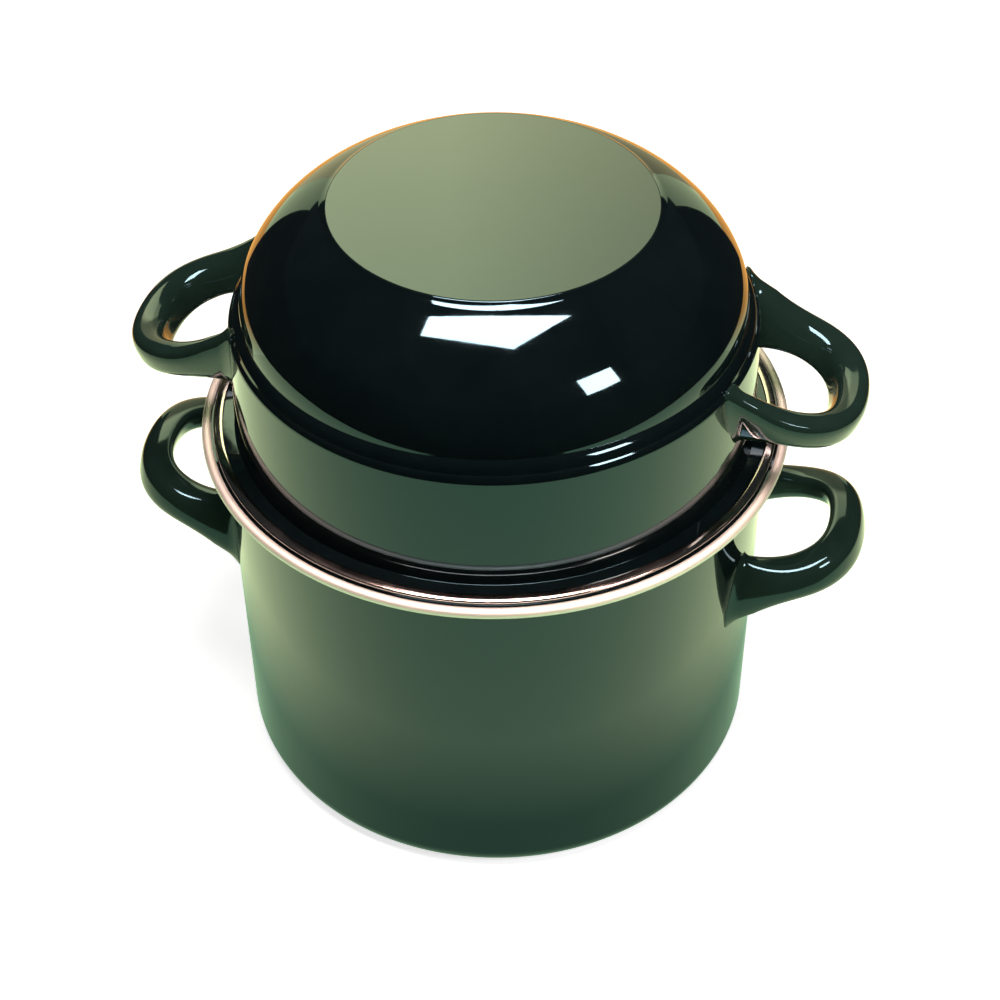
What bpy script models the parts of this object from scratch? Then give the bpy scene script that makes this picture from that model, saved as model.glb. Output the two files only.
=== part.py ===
"""Mussel pot: an enamelled steel pot closed by a deep bowl turned upside down.

Metres, +Z up. The origin is the centre of the pot's base on the table, and the loop handles lie along X.
The bowl lifts straight up off the pot's lip, so its pieces hang from an empty on the pot's axis.
"""
import math

import bmesh
import bpy

# Pot shell
POT_WALL_RADIUS = 0.1210
POT_HEIGHT = 0.1740
POT_THICKNESS = 0.0015
BASE_CORNER_RADIUS = 0.0108
BASE_RING_WIDTH = 0.0140
BASE_RECESS_DEPTH = 0.0008
BASE_RECESS_SLOPE = 0.0030
LIP_FILLET_RADIUS = 0.0040
POT_RIM_RADIUS = 0.1304

# Lid shell, heights measured up from the centre of its rolled edge
LID_EDGE_RADIUS = 0.1218
LID_THICKNESS = 0.0012
FLANGE_SLOPE = math.radians(5.0)
LID_WALL_RADIUS = 0.1155
LID_WALL_TAPER = math.radians(2.0)
LID_WALL_TOP = 0.0547
FOOT_FILLET_RADIUS = 0.0022
SHOULDER_RADIUS = 0.0086
SHOULDER_END = math.radians(77.0)
LEDGE_STEP = 0.0012
DOME_FOOT_PULL = 0.0203
DOME_TOP_PULL = 0.0197
DOME_TOP_SLOPE = math.radians(26.5)
DISC_RADIUS = 0.0684
DISC_HEIGHT = 0.1081
DISC_STEP_HEIGHT = 0.0023
DISC_STEP_WIDTH = 0.0039

# Steel trims rolled over the two edges
POT_TRIM_RADIUS = 0.00225
POT_TRIM_SHEET = 0.00040
LID_TRIM_RADIUS = 0.00150
LID_TRIM_SHEET = 0.00035

# Loop handles, one pattern for the pot and the lid, sides named as they are on the pot
HANDLE_REACH = 0.0450
LEG_HALF_SPACING = 0.0360
LEG_TURN_IN = math.radians(10.0)
LEG_PULL = 0.0220
GRIP_PULL = 0.0350
GRIP_THICKNESS = 0.0160
GRIP_UPPER_HALF = 0.0064
GRIP_LOWER_HALF = 0.0098
GRIP_LEAN = math.radians(16.5)
LEG_THICKNESS = 0.0104
LEG_UPPER_HALF = 0.0137
LEG_LOWER_HALF = 0.0182
LEG_TAPER_LENGTH = 0.0272
SECTION_ROUNDNESS = 2.1
GRIP_RISE = 0.0131
WELD_FILLET = 0.0025
WELD_FILLET_LENGTH = 0.0050
POT_HANDLE_HEIGHT = 0.1184
LID_HANDLE_HEIGHT = 0.0382

# Clearance between touching pieces
FIT_GAP = 0.0003

# Resolution of round forms
TURN_STEPS = 60
SECTION_SIDES = 14
ROOT_STATIONS = 5
GRIP_STATIONS = 11
ROOT_SHARE = 0.16
ROOT_OVERLAP = 0.0026

ENAMEL_GREEN = (0.036, 0.062, 0.052, 1.0)
HANDLE_GREEN = (0.019, 0.038, 0.029, 1.0)
STEEL = (0.72, 0.70, 0.66, 1.0)

# Sizes that follow from the values above
POT_BORE_RADIUS = POT_WALL_RADIUS - POT_THICKNESS
LIP_CENTRE_RADIUS = POT_BORE_RADIUS + LIP_FILLET_RADIUS
LIP_CENTRE_HEIGHT = POT_HEIGHT - LIP_FILLET_RADIUS
POT_TRIM_CENTRE_RADIUS = POT_RIM_RADIUS - POT_TRIM_RADIUS
POT_TRIM_CENTRE_HEIGHT = POT_HEIGHT - POT_THICKNESS / 2
SEAT_DISTANCE = LIP_FILLET_RADIUS + FIT_GAP + LID_TRIM_RADIUS
SEAT_OFFSET = LIP_CENTRE_RADIUS - LID_EDGE_RADIUS
LID_HEIGHT = LIP_CENTRE_HEIGHT + math.sqrt(SEAT_DISTANCE**2 - SEAT_OFFSET**2)


def clear_scene():
    """Remove every object, so that the script can run again in an open file."""
    for scene_object in list(bpy.data.objects):
        bpy.data.objects.remove(scene_object, do_unlink=True)


def new_collection(name):
    """A collection under the scene's own."""
    collection = bpy.data.collections.new(name)
    bpy.context.scene.collection.children.link(collection)
    return collection


def material(name, colour, roughness, metallic=0.0):
    """A Principled material of one colour."""
    made = bpy.data.materials.new(name)
    made.use_nodes = True
    shader = made.node_tree.nodes["Principled BSDF"]
    shader.inputs["Base Color"].default_value = colour
    shader.inputs["Roughness"].default_value = roughness
    shader.inputs["Metallic"].default_value = metallic
    made.diffuse_color = colour
    return made


def arc(centre_radius, centre_height, radius, start, end, segments):
    """Points on a circular arc in the turning plane, both ends included, angles from the outward direction."""
    points = []
    for index in range(segments + 1):
        angle = start + (end - start) * index / segments
        points.append((centre_radius + radius * math.cos(angle), centre_height + radius * math.sin(angle)))
    return points


def curve_between(start, start_pull, end, end_pull, segments):
    """A cubic curve between two points, each with the pull (across, up) that sets its direction there."""
    controls = [start, (start[0] + start_pull[0], start[1] + start_pull[1])]
    controls += [(end[0] - end_pull[0], end[1] - end_pull[1]), end]
    points = []
    for index in range(segments + 1):
        right = index / segments
        left = 1 - right
        weights = [left**3, 3 * left**2 * right, 3 * left * right**2, right**3]
        radius = sum(weight * control[0] for weight, control in zip(weights, controls))
        height = sum(weight * control[1] for weight, control in zip(weights, controls))
        points.append((radius, height))
    return points


def offset_outline(points, distance):
    """The outline moved sideways, away from the metal, with its corners mitred."""
    moved = []
    for index, (radius, height) in enumerate(points):
        before = points[max(index - 1, 0)]
        after = points[min(index + 1, len(points) - 1)]
        first = math.atan2(height - before[1], radius - before[0])
        second = math.atan2(after[1] - height, after[0] - radius)
        if index == 0:
            first = second
        if index == len(points) - 1:
            second = first
        turn_angle = math.remainder(second - first, 2 * math.pi)
        outward = first + turn_angle / 2 + math.pi / 2
        reach = distance / math.cos(turn_angle / 2)
        moved.append((radius + reach * math.cos(outward), height + reach * math.sin(outward)))
    return moved


def turned_object(name, points, collection, parent=None):
    """An open outline of (radius, height) points turned round Z by a Screw modifier."""
    mesh = bpy.data.meshes.new(name)
    vertices = [(radius, 0.0, height) for radius, height in points]
    edges = [(index, index + 1) for index in range(len(points) - 1)]
    mesh.from_pydata(vertices, edges, [])
    made = bpy.data.objects.new(name, mesh)
    made.parent = parent
    collection.objects.link(made)
    screw = made.modifiers.new("Turn", "SCREW")
    screw.axis = "Z"
    screw.angle = 2 * math.pi
    screw.screw_offset = 0.0
    screw.steps = TURN_STEPS
    screw.render_steps = TURN_STEPS
    screw.use_merge_vertices = True
    screw.merge_threshold = 0.00001
    screw.use_smooth_shade = True
    return made


def turned_sheet(name, points, thickness, finish, collection, parent=None):
    """Sheet metal spun to an outline, which is its outer side, with its thickness added on the inner side."""
    made = turned_object(name, points, collection, parent)
    sheet = made.modifiers.new("Sheet", "SOLIDIFY")
    sheet.thickness = thickness
    sheet.offset = -1.0
    sheet.use_even_offset = True
    sheet.use_rim = True
    made.data.materials.append(finish)
    return made


def trim_closing_angle(trim_radius, trim_sheet, sheet_thickness):
    """How far round a trim is rolled on each side, until it lies one gap off the sheet that it covers."""
    half_mouth = sheet_thickness / 2 + FIT_GAP
    return math.pi - math.asin(half_mouth / (trim_radius - trim_sheet))


def trim_outline(centre_radius, centre_height, tilt, trim_radius, trim_sheet, sheet_thickness):
    """The outer side of a rolled trim: a C open towards the sheet, run from its top round and under."""
    closing = trim_closing_angle(trim_radius, trim_sheet, sheet_thickness)
    return arc(centre_radius, centre_height, trim_radius, tilt + closing, tilt - closing, 6)


def sheet_reach(trim_radius, trim_sheet, sheet_thickness):
    """How far past the trim's centre the sheet's edge reaches, one gap short of the trim's inner facets."""
    step = trim_closing_angle(trim_radius, trim_sheet, sheet_thickness) / 3
    room = trim_radius * math.cos(step / 2) - trim_sheet - FIT_GAP
    return math.sqrt(room**2 - (sheet_thickness / 2)**2)


def pot_outline():
    """The pot's outer side from the lip's edge under the lip, down the wall and across the base."""
    edge = POT_TRIM_CENTRE_RADIUS + sheet_reach(POT_TRIM_RADIUS, POT_TRIM_SHEET, POT_THICKNESS)
    under_radius = LIP_FILLET_RADIUS - POT_THICKNESS
    corner_centre = POT_WALL_RADIUS - BASE_CORNER_RADIUS
    ring_inner = corner_centre - BASE_RING_WIDTH
    points = [(edge, POT_HEIGHT - POT_THICKNESS)]
    points += arc(LIP_CENTRE_RADIUS, LIP_CENTRE_HEIGHT, under_radius, math.pi / 2, math.pi, 3)
    points += arc(corner_centre, BASE_CORNER_RADIUS, BASE_CORNER_RADIUS, 0.0, -math.pi / 2, 4)
    points.append((ring_inner, 0.0))
    points.append((ring_inner - BASE_RECESS_SLOPE, BASE_RECESS_DEPTH))
    points.append((0.0, BASE_RECESS_DEPTH))
    return points


def pot_wall_radius(height):
    """The radius of the pot's straight wall."""
    return POT_WALL_RADIUS


def lid_wall_radius(height):
    """The radius of the lid's wall, which narrows upwards, at a height above the lid's edge."""
    return LID_WALL_RADIUS - height * math.tan(LID_WALL_TAPER)


def flange_height(radius):
    """The height of the flange's upper face, whose middle runs through the centre of the rolled edge."""
    lift = LID_THICKNESS / 2 / math.cos(FLANGE_SLOPE)
    return lift + (LID_EDGE_RADIUS - radius) * math.tan(FLANGE_SLOPE)


def flange_edge():
    """The outer end of the flange's upper face, inside the rolled trim."""
    reach = sheet_reach(LID_TRIM_RADIUS, LID_TRIM_SHEET, LID_THICKNESS)
    half = LID_THICKNESS / 2
    radius = LID_EDGE_RADIUS + reach * math.cos(FLANGE_SLOPE) + half * math.sin(FLANGE_SLOPE)
    return (radius, flange_height(radius))


def lid_foot_fillet():
    """The hollow fillet from the lid's wall down to its flange."""
    wall_direction = math.pi / 2 + LID_WALL_TAPER
    flange_at_wall = flange_height(LID_WALL_RADIUS)
    slopes = 1 - math.tan(LID_WALL_TAPER) * math.tan(FLANGE_SLOPE)
    corner_height = flange_at_wall / slopes
    corner_radius = lid_wall_radius(corner_height)
    opening = wall_direction + FLANGE_SLOPE
    bisector = (wall_direction - FLANGE_SLOPE) / 2
    reach = FOOT_FILLET_RADIUS / math.sin(opening / 2)
    centre_radius = corner_radius + reach * math.cos(bisector)
    centre_height = corner_height + reach * math.sin(bisector)
    start = wall_direction + math.pi / 2
    end = math.pi * 3 / 2 - FLANGE_SLOPE
    return arc(centre_radius, centre_height, FOOT_FILLET_RADIUS, start, end, 3)


def lid_outline():
    """The lid's outer side from the middle of its disc down the dome, shoulder and wall to the flange."""
    wall_top = (lid_wall_radius(LID_WALL_TOP), LID_WALL_TOP)
    shoulder_radius = wall_top[0] - SHOULDER_RADIUS * math.cos(LID_WALL_TAPER)
    shoulder_height = wall_top[1] - SHOULDER_RADIUS * math.sin(LID_WALL_TAPER)
    shoulder = arc(shoulder_radius, shoulder_height, SHOULDER_RADIUS, SHOULDER_END, LID_WALL_TAPER, 4)
    dome_foot = (shoulder[0][0] - LEDGE_STEP, shoulder[0][1] + LEDGE_STEP)
    dome_top = (DISC_RADIUS + DISC_STEP_WIDTH, DISC_HEIGHT - DISC_STEP_HEIGHT)
    top_pull = (DOME_TOP_PULL * math.cos(DOME_TOP_SLOPE), -DOME_TOP_PULL * math.sin(DOME_TOP_SLOPE))
    points = [(0.0, DISC_HEIGHT), (DISC_RADIUS, DISC_HEIGHT)]
    points += curve_between(dome_top, top_pull, dome_foot, (0.0, -DOME_FOOT_PULL), 7)
    points += shoulder
    points += lid_foot_fillet()
    points.append(flange_edge())
    return points


def loop_centre(fraction, root_distance):
    """Half of the loop's centre line, from inside the wall to the middle of the grip, as a cubic curve."""
    reach = HANDLE_REACH + ROOT_OVERLAP
    pull = (LEG_PULL, LEG_HALF_SPACING - LEG_PULL * math.tan(LEG_TURN_IN))
    controls = [(0.0, LEG_HALF_SPACING), pull, (reach, GRIP_PULL), (reach, 0.0)]
    left = 1 - fraction
    weights = [left**3, 3 * left**2 * fraction, 3 * left * fraction**2, fraction**3]
    along = sum(weight * control[0] for weight, control in zip(weights, controls))
    across = sum(weight * control[1] for weight, control in zip(weights, controls))
    return (root_distance - ROOT_OVERLAP + along, across)


def loop_outward(fraction, root_distance):
    """The unit direction out of the loop, square to its centre line."""
    step = 0.001
    ahead = loop_centre(min(fraction + step, 1.0), root_distance)
    behind = loop_centre(max(fraction - step, 0.0), root_distance)
    along = ahead[0] - behind[0]
    across = ahead[1] - behind[1]
    length = math.hypot(along, across)
    return (-across / length, along / length)


def eased(value, start, end):
    """Between two values, from the start at the wall to the end on the grip."""
    return start + (end - start) * value


def loop_section(fraction, wall_radius, base_height, flip):
    """One closed section of the loop: a rounded oblong, leaning, deeper and filleted at the wall."""
    root_distance = math.sqrt(wall_radius(base_height)**2 - LEG_HALF_SPACING**2)
    centre = loop_centre(fraction, root_distance)
    outward = loop_outward(fraction, root_distance)
    stand_off = centre[0] - root_distance
    share = stand_off / HANDLE_REACH
    taper = 1 - max(1 - stand_off / LEG_TAPER_LENGTH, 0.0)**2
    taper = min(taper, 1.0)
    weld = WELD_FILLET * min(max(1 - stand_off / WELD_FILLET_LENGTH, 0.0), 1.0)**2
    half_thickness = eased(taper, LEG_THICKNESS, GRIP_THICKNESS) / 2 + weld
    upper_half = eased(taper, LEG_UPPER_HALF, GRIP_UPPER_HALF) + weld
    lower_half = eased(taper, LEG_LOWER_HALF, GRIP_LOWER_HALF) + weld
    follow = max(1 - fraction / ROOT_SHARE, 0.0)
    power = 2 / SECTION_ROUNDNESS
    section = []
    for side in range(SECTION_SIDES):
        angle = 2 * math.pi * side / SECTION_SIDES
        cosine = math.cos(angle)
        sine = math.sin(angle)
        sideways = math.copysign(abs(cosine)**power, cosine) * half_thickness
        upwards = math.copysign(abs(sine)**power, sine)
        upwards *= upper_half if sine > 0 else lower_half
        offset = sideways - upwards * math.tan(GRIP_LEAN)
        height = base_height + flip * (GRIP_RISE * share + upwards)
        along = centre[0] + outward[0] * offset
        across = centre[1] + outward[1] * offset
        shell_radius = math.hypot(*centre) + wall_radius(height) - wall_radius(base_height)
        bent = math.sqrt(shell_radius**2 - across**2)
        section.append((eased(follow, along, bent), across, height))
    return section


def half_loop_fractions():
    """Places along half of the loop, closer together near the wall."""
    fractions = [ROOT_SHARE * (index / ROOT_STATIONS)**1.5 for index in range(ROOT_STATIONS)]
    for index in range(GRIP_STATIONS + 1):
        fractions.append(ROOT_SHARE + (1 - ROOT_SHARE) * index / GRIP_STATIONS)
    return fractions


def loop_mesh(name, wall_radius, base_height, flip, finish):
    """A loft through the loop's sections, out along one leg, round the grip and back along the other."""
    half = [loop_section(fraction, wall_radius, base_height, flip) for fraction in half_loop_fractions()]
    mirrored = [[(along, -across, height) for along, across, height in section] for section in half[:-1]]
    sections = half + list(reversed(mirrored))
    mesh = bpy.data.meshes.new(name)
    shape = bmesh.new()
    rings = [[shape.verts.new(point) for point in section] for section in sections]
    for near, far in zip(rings, rings[1:]):
        for side in range(SECTION_SIDES):
            after = (side + 1) % SECTION_SIDES
            shape.faces.new((near[side], near[after], far[after], far[side]))
    shape.faces.new(rings[0])
    shape.faces.new(rings[-1])
    bmesh.ops.recalc_face_normals(shape, faces=shape.faces)
    shape.to_mesh(mesh)
    shape.free()
    mesh.shade_smooth()
    mesh.set_sharp_from_angle(angle=math.radians(40.0))
    mesh.materials.append(finish)
    return mesh


def handle_pair(prefix, wall_radius, base_height, flip, wall_cutter, finish, collection, parent=None):
    """Two opposite loops of one mesh, each trimmed to stand one gap off the wall that it is welded to."""
    mesh = loop_mesh(prefix + "_handle", wall_radius, base_height, flip, finish)
    for side, turn_angle in (("right", 0.0), ("left", math.pi)):
        made = bpy.data.objects.new(prefix + "_handle_" + side, mesh)
        made.rotation_euler = (0.0, 0.0, turn_angle)
        made.parent = parent
        collection.objects.link(made)
        trim = made.modifiers.new("Trim to wall", "BOOLEAN")
        trim.operation = "DIFFERENCE"
        trim.solver = "EXACT"
        trim.object = wall_cutter


def wall_cutter(name, outline, cutters, parent=None):
    """The solid inside a shell's outer side, one gap larger, with which the handles are trimmed."""
    grown = offset_outline(outline, FIT_GAP)
    closed = [(0.0, grown[0][1])] + grown + [(0.0, grown[-1][1])]
    cutter = turned_object(name, closed, cutters, parent)
    cutter.hide_render = True
    cutter.display_type = "WIRE"
    return cutter


def build():
    """Build the pot with its trim and handles, and the lid with the same, on an empty."""
    clear_scene()
    parts = new_collection("mussel_pot")
    cutters = new_collection("cutters")
    enamel = material("enamel_green", ENAMEL_GREEN, 0.12)
    handle_enamel = material("handle_enamel_green", HANDLE_GREEN, 0.16)
    steel = material("trim_steel", STEEL, 0.14, 1.0)

    turned_sheet("pot_body", pot_outline(), POT_THICKNESS, enamel, parts)
    pot_trim = trim_outline(POT_TRIM_CENTRE_RADIUS, POT_TRIM_CENTRE_HEIGHT, 0.0,
                            POT_TRIM_RADIUS, POT_TRIM_SHEET, POT_THICKNESS)
    turned_sheet("pot_rim_band", pot_trim, POT_TRIM_SHEET, steel, parts)
    pot_cutter = wall_cutter("pot_wall_cutter", pot_outline()[4:6], cutters)
    handle_pair("pot", pot_wall_radius, POT_HANDLE_HEIGHT, 1.0, pot_cutter, handle_enamel, parts)

    lid_axis = bpy.data.objects.new("lid_axis", None)
    lid_axis.location = (0.0, 0.0, LID_HEIGHT)
    parts.objects.link(lid_axis)
    turned_sheet("lid_bowl", lid_outline(), LID_THICKNESS, enamel, parts, lid_axis)
    lid_trim = trim_outline(LID_EDGE_RADIUS, 0.0, -FLANGE_SLOPE,
                            LID_TRIM_RADIUS, LID_TRIM_SHEET, LID_THICKNESS)
    turned_sheet("lid_rim_band", lid_trim, LID_TRIM_SHEET, steel, parts, lid_axis)
    lid_cutter = wall_cutter("lid_wall_cutter", lid_outline()[1:], cutters, lid_axis)
    handle_pair("lid", lid_wall_radius, LID_HANDLE_HEIGHT, -1.0, lid_cutter, handle_enamel, parts, lid_axis)


build()
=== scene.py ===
"""Mussel pot in dark green enamel: shells, rolled steel trims and loop handles over the packed model, and a studio.

Metres, +Z up. The origin is the centre of the pot's base on the table, and the loop handles lie along X.
The studio's places are written as the camera sees them, x to its right and y away from it, and are turned
round Z with the camera by the stage's turn.
"""
import math

import bpy
import numpy as np
from bpy.props import FloatProperty, FloatVectorProperty, IntProperty, PointerProperty
from mathutils import Matrix, Vector


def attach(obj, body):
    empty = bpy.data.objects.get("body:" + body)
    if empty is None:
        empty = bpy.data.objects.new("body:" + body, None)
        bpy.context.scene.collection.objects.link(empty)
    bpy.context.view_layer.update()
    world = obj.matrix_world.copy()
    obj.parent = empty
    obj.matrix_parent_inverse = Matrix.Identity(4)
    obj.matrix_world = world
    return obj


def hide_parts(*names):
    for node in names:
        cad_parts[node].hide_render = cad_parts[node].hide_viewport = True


bl_info = {
    "name": "Mussel pot",
    "version": (1, 0, 0),
    "blender": (4, 5, 0),
    "location": "View3D > Sidebar > Mussel pot",
    "description": "Builds an enamelled mussel pot with its domed lid, and the studio it stands in",
    "category": "Object",
}

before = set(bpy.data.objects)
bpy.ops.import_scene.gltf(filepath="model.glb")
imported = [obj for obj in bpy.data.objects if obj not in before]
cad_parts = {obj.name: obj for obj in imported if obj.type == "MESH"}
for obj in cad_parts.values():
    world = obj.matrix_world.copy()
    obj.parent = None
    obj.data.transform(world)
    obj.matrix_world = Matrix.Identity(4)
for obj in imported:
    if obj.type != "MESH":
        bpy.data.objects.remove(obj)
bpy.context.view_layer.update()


# Kinds of property


def length(name, default, description):
    """A size in metres."""
    return FloatProperty(name=name, default=default, description=description, min=0.0, precision=5,
                         subtype="DISTANCE", unit="LENGTH")


def slope(name, degrees, description):
    """An angle, written in degrees and kept in radians."""
    return FloatProperty(name=name, default=math.radians(degrees), description=description,
                         subtype="ANGLE", unit="ROTATION")


def amount(name, default, description):
    """A plain number."""
    return FloatProperty(name=name, default=default, description=description, precision=4)


def colour(name, default, description):
    """A linear colour."""
    return FloatVectorProperty(name=name, default=default, description=description, size=3, min=0.0,
                               subtype="COLOR")


class PotSizes(bpy.types.PropertyGroup):
    """Sizes of the pot's drawn shell."""

    wall_radius: length("Wall radius", 0.1210, "Outer radius of the straight wall")
    height: length("Height", 0.1740, "Top of the lip above the table")
    thickness: length("Sheet", 0.0015, "Thickness of the enamelled sheet")
    corner_radius: length("Base corner", 0.0108, "Outer rounding from the wall to the base")
    ring_width: length("Base ring", 0.0140, "Width of the flat ring that the pot stands on")
    recess_depth: length("Recess", 0.0008, "How far the base is pressed up inside the ring")
    recess_slope: length("Recess slope", 0.0030, "Width of the slope from the ring to the recess")
    lip_fillet: length("Lip fillet", 0.0040, "Inner rounding from the bore to the top of the lip")
    rim_radius: length("Rim radius", 0.1304, "Outer radius of the pot with its rolled trim")


class LidSizes(bpy.types.PropertyGroup):
    """Sizes of the lid's drawn shell. Heights are measured up from the centre of its rolled edge."""

    height: length("Height on pot", 0.175545, "Centre of the lid's rolled edge above the table")
    edge_radius: length("Edge radius", 0.1218, "Radius to the centre of the rolled edge")
    thickness: length("Sheet", 0.0012, "Thickness of the enamelled sheet")
    flange_slope: slope("Flange slope", 5.0, "Fall of the flange towards its edge")
    wall_radius: length("Wall radius", 0.1155, "Outer radius of the wall at the height of the edge")
    wall_taper: slope("Wall taper", 2.0, "How much the wall leans inwards as it rises")
    wall_top: length("Wall top", 0.0529, "Height at which the wall ends and the shoulder starts")
    foot_fillet: length("Foot fillet", 0.0002, "Hollow rounding from the wall to the flange")
    lower_roll: length("Lower roll", 0.0050, "Rounding from the wall into the shoulder")
    lower_roll_end: slope("Lower roll end", 44.0, "How far round the lower roll runs before the groove")
    groove_radius: length("Groove", 0.0010, "Hollow rounding of the groove between the shoulder's two rolls")
    groove_end: slope("Groove end", 19.0, "Direction in which the riser above the groove faces")
    riser: length("Riser", 0.0012, "Length of the straight riser above the groove")
    upper_roll: length("Upper roll", 0.0070, "Rounding of the shoulder above the riser")
    upper_roll_end: slope("Upper roll end", 52.0, "How far round the upper roll runs before the cove")
    cove_radius: length("Cove", 0.0002, "Hollow rounding from the dome's foot to the shoulder")
    dome_radius: length("Dome foot radius", 0.1085, "Radius of the dome at its foot")
    dome_foot_slope: slope("Dome foot slope", 3.5, "How much the dome leans inwards at its foot")
    dome_foot_pull: length("Dome foot pull", 0.0203, "How long the dome's curve holds its lean at its foot")
    dome_top_pull: length("Dome top pull", 0.0185, "How long the dome's curve holds its slope at the top")
    dome_top_slope: slope("Dome top slope", 25.0, "Slope of the dome where it meets the disc's step")
    disc_radius: length("Disc radius", 0.0684, "Radius of the flat disc on top")
    disc_height: length("Disc height", 0.1081, "Height of the disc")
    step_height: length("Step height", 0.0023, "Drop from the disc to the top of the dome")
    step_width: length("Step width", 0.0038, "Width of the step round the disc")
    step_slope: slope("Step slope", 41.0, "Steepest slope of the step round the disc")
    step_rounding: length("Step rounding", 0.0012, "Rounding of the disc's edge")
    step_hollow: length("Step hollow", 0.0120, "Hollow rounding from the step to the dome")


class TrimSizes(bpy.types.PropertyGroup):
    """Sizes of the steel trims rolled over the two edges."""

    pot_radius: length("Pot trim", 0.00225, "Outer radius of the pot trim's rolled section")
    pot_sheet: length("Pot trim sheet", 0.00040, "Sheet thickness of the pot's trim")
    lid_radius: length("Lid trim", 0.00150, "Outer radius of the lid trim's rolled section")
    lid_sheet: length("Lid trim sheet", 0.00035, "Sheet thickness of the lid's trim")
    pot_squareness: amount("Pot trim squareness", 2.0, "Power of the pot trim's section, 2 being round")
    lid_squareness: amount("Lid trim squareness", 3.2, "Power of the lid trim's section, 2 being round")
    lid_flatness: length("Lid trim flatness", 0.0009, "How much wider than high the lid trim's section is, by halves")
    lid_tilt: slope("Lid trim tilt", 9.0, "How much the lid trim's section falls outwards")
    lid_outset: length("Lid trim outset", 0.0010, "How far the lid trim's middle lies outside the rolled edge's")
    gap: length("Gap", 0.0003, "Clearance between a trim and the enamel that it covers")


class HandleSizes(bpy.types.PropertyGroup):
    """Sizes of the loop handles, one pattern for all four, with sides named as they are on the pot."""

    reach: length("Reach", 0.0450, "From the wall to the middle of the grip")
    half_spacing: length("Half spacing", 0.0360, "Half the distance between the legs at the wall")
    turn_in: slope("Leg turn", 10.0, "How much the legs turn towards each other at the wall")
    leg_pull: length("Leg pull", 0.0220, "How long the legs keep their direction")
    grip_pull: length("Grip pull", 0.0350, "How long the grip keeps its direction")
    grip_thickness: length("Grip thickness", 0.0150, "Thickness of the grip across the loop")
    grip_upper: length("Grip above", 0.0064, "Grip above its middle")
    grip_lower: length("Grip below", 0.0098, "Grip below its middle")
    lean: slope("Lean", 16.5, "How much the section leans towards the pot as it rises")
    leg_thickness: length("Leg thickness", 0.0104, "Thickness of the legs at the wall")
    leg_upper: length("Leg above", 0.0137, "Leg above its middle at the wall")
    leg_lower: length("Leg below", 0.0182, "Leg below its middle at the wall")
    leg_taper: length("Leg taper", 0.0272, "Distance over which a leg thins to the grip's section")
    roundness: amount("Roundness", 2.8, "Power of the rounded section, 2 being an ellipse")
    rise: length("Rise", 0.0131, "How far the grip stands above the legs' roots")
    weld: length("Weld fillet", 0.0018, "Width of the enamelled weld round a root")
    weld_length: length("Weld length", 0.0036, "How far the weld runs out along a leg")
    root_start: length("Root start", 0.0026, "Depth below the wall's surface at which the centre line starts")
    root_depth: length("Root depth", 0.0007, "How deep a root reaches into the sheet of the wall")
    root_share: amount("Root share", 0.16, "Share of half the loop that bends to follow the wall")
    pot_height: length("Pot handles", 0.1184, "Height of the pot handles' roots above the table")
    lid_height: length("Lid handles", 0.0382, "Height of the lid handles' roots above the lid's edge")


class Fineness(bpy.types.PropertyGroup):
    """How finely the round forms are drawn."""

    turn_steps: IntProperty(name="Turn", default=216, min=24, description="Points round each turned piece")
    section_sides: IntProperty(name="Section", default=48, min=12, description="Points round a handle's section")
    root_stations: IntProperty(name="Root stations", default=22, min=6, description="Sections in a leg's root")
    grip_stations: IntProperty(name="Grip stations", default=44, min=12, description="Sections in half a grip")


class Finishes(bpy.types.PropertyGroup):
    """Colours and gloss of the enamel and the steel."""

    shell_green: colour("Shell green", (0.0030, 0.0055, 0.0062), "Body of the shells' enamel")
    shell_thin: colour("Shell thin green", (0.0080, 0.0120, 0.0110), "The shells' enamel where it is thin")
    handle_green: colour("Handle green", (0.0140, 0.0290, 0.0220), "Body of the handles' enamel")
    handle_thin: colour("Handle thin green", (0.0200, 0.0360, 0.0270), "The handles' enamel where it is thin")
    rubbed: colour("Rubbed enamel", (0.070, 0.080, 0.070), "Enamel dulled by hob and table")
    gloss_tint: colour("Gloss tint", (0.19, 0.44, 0.56), "Tint of the enamel's head-on reflection")
    handle_gloss: colour("Handle gloss", (0.14, 0.32, 0.40), "The same for the handles")
    enamel_index: amount("Enamel index", 1.66, "Refractive index of the enamel")
    satin: colour("Satin steel", (0.54, 0.60, 0.57), "Brushed stainless steel")
    satin_worn: colour("Satin steel in its scratches", (0.42, 0.48, 0.44), "Brushed steel where scratches dull it")
    steel: colour("Steel", (0.38, 0.38, 0.36), "Polished stainless steel")
    steel_worn: colour("Steel in its scratches", (0.27, 0.26, 0.24), "Polished steel where scratches dull it")


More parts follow.
